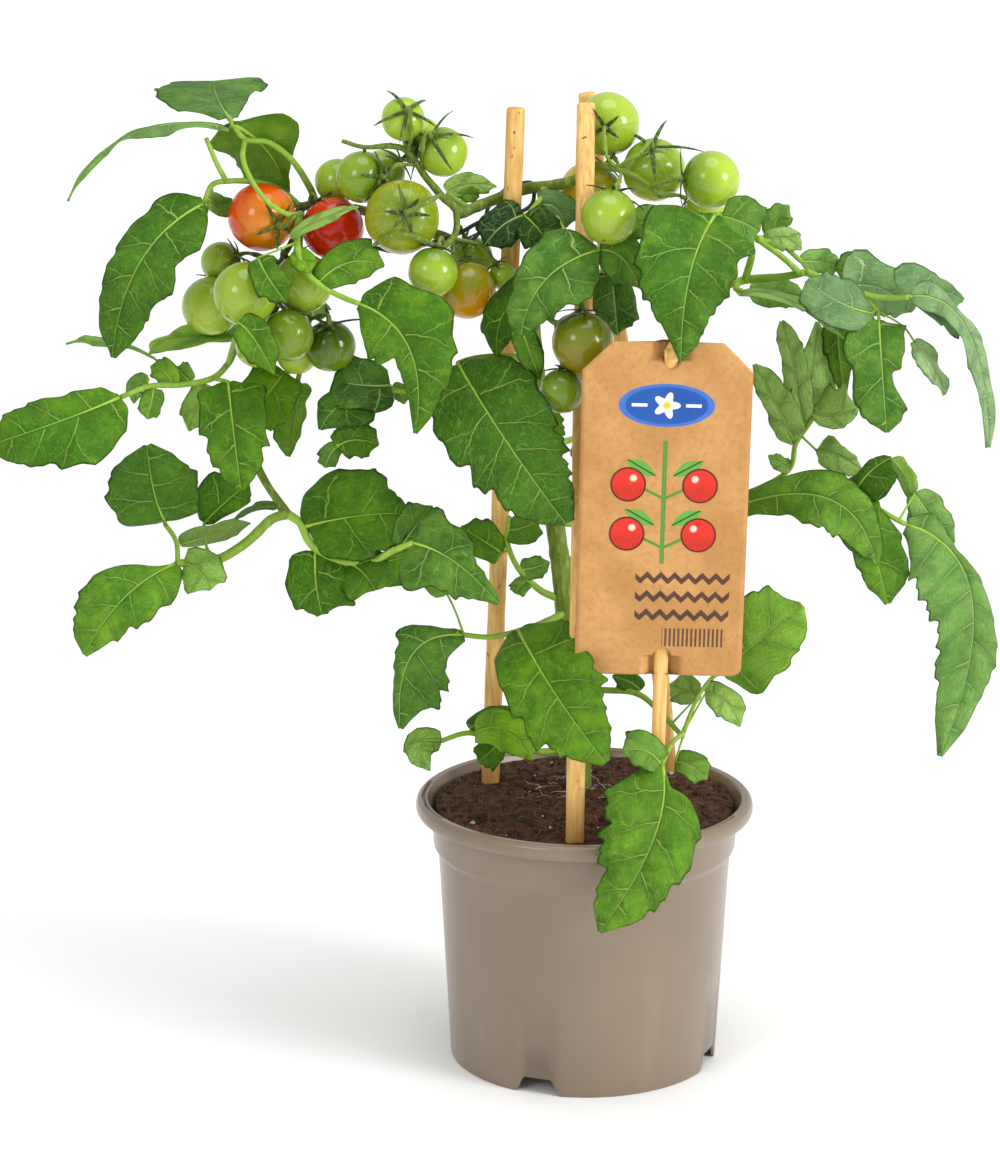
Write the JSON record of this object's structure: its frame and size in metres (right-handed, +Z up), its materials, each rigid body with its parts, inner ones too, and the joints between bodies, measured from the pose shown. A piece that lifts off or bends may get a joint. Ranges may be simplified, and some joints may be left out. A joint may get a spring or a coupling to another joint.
{
  "type": "potted cherry tomato plant",
  "caption": "Bushy cherry tomato plant with trusses of ripening fruit, held by canes in a round nursery pot with a card plant label.",
  "frame": {"origin": "middle of the pot's underside, on the surface it stands on", "axes": "+Z up along the pot's axis, -Y towards the front, where the label shows, +X to the right"},
  "size_m": [0.403, 0.2167, 0.4024],
  "materials": {
    "pot_plastic": "moulded taupe plastic, satin",
    "potting_soil": "dark peat mix, rough",
    "cane_wood": "split cane, raw",
    "label_board": "brown kraft board, printed",
    "tie_black": "soft black plastic",
    "stem_green": "downy green stem",
    "leaf_green": "downy leaf, satin",
    "leaf_dark": "downy leaf in the inside of the plant",
    "fruit_green": "smooth skin, glossy, unripe",
    "fruit_turning": "smooth skin, glossy, turning",
    "fruit_orange": "smooth skin, glossy, half ripe",
    "fruit_red": "smooth skin, glossy, ripe"
  },
  "bodies": {
    "root": {"cane_back": "cane_wood", "cane_front": "cane_wood", "cane_left": "cane_wood", "label_card": "label_board", "label_stick": "cane_wood", "leaf_back_centre": "leaf_green", "leaf_back_left": "leaf_green", "leaf_back_right": "leaf_green", "leaf_behind_top": "leaf_green", "leaf_cane": "leaf_green", "leaf_centre": "leaf_green", "leaf_centre_left": "leaf_green", "leaf_dark_inner": "leaf_dark", "leaf_dark_top": "leaf_dark", "leaf_far_left": "leaf_green", "leaf_front_right": "leaf_green", "leaf_front_rim": "leaf_green", "leaf_inner_small": "leaf_green", "leaf_left_hanging": "leaf_dark", "leaf_left_reach": "leaf_green", "leaf_lower_left": "leaf_green", "leaf_lower_middle": "leaf_green", "leaf_right_edge": "leaf_green", "leaf_right_low": "leaf_green", "leaf_right_shoot": "leaf_green", "leaf_right_upper": "leaf_green", "leaf_right_upright": "leaf_green", "leaf_soil_left": "leaf_green", "leaf_top_left": "leaf_green", "leaf_upper_centre": "leaf_green", "main_stem": "stem_green", "pot": "pot_plastic", "soil": "potting_soil", "tie": "tie_black", "tomato_big_olive": "fruit_turning", "tomato_cane_top": "fruit_green", "tomato_hidden_red": "fruit_red", "tomato_label_green": "fruit_green", "tomato_label_olive": "fruit_turning", "tomato_left_dark": "fruit_green", "tomato_left_inner": "fruit_green", "tomato_left_low": "fruit_green", "tomato_left_orange": "fruit_orange", "tomato_left_outer": "fruit_green", "tomato_left_pale": "fruit_green", "tomato_left_red": "fruit_red", "tomato_mid_green": "fruit_green", "tomato_mid_orange": "fruit_orange", "tomato_right_front": "fruit_green", "tomato_right_outer": "fruit_green", "tomato_right_sepals": "fruit_green", "tomato_right_yellow": "fruit_turning", "tomato_top_front": "fruit_green", "tomato_top_left": "fruit_green", "tomato_top_pale": "fruit_green", "tomato_top_right": "fruit_green", "truss_lower_left": "stem_green", "truss_middle": "stem_green", "truss_right": "stem_green", "truss_upper_left": "stem_green"}
  },
  "joints": []
}
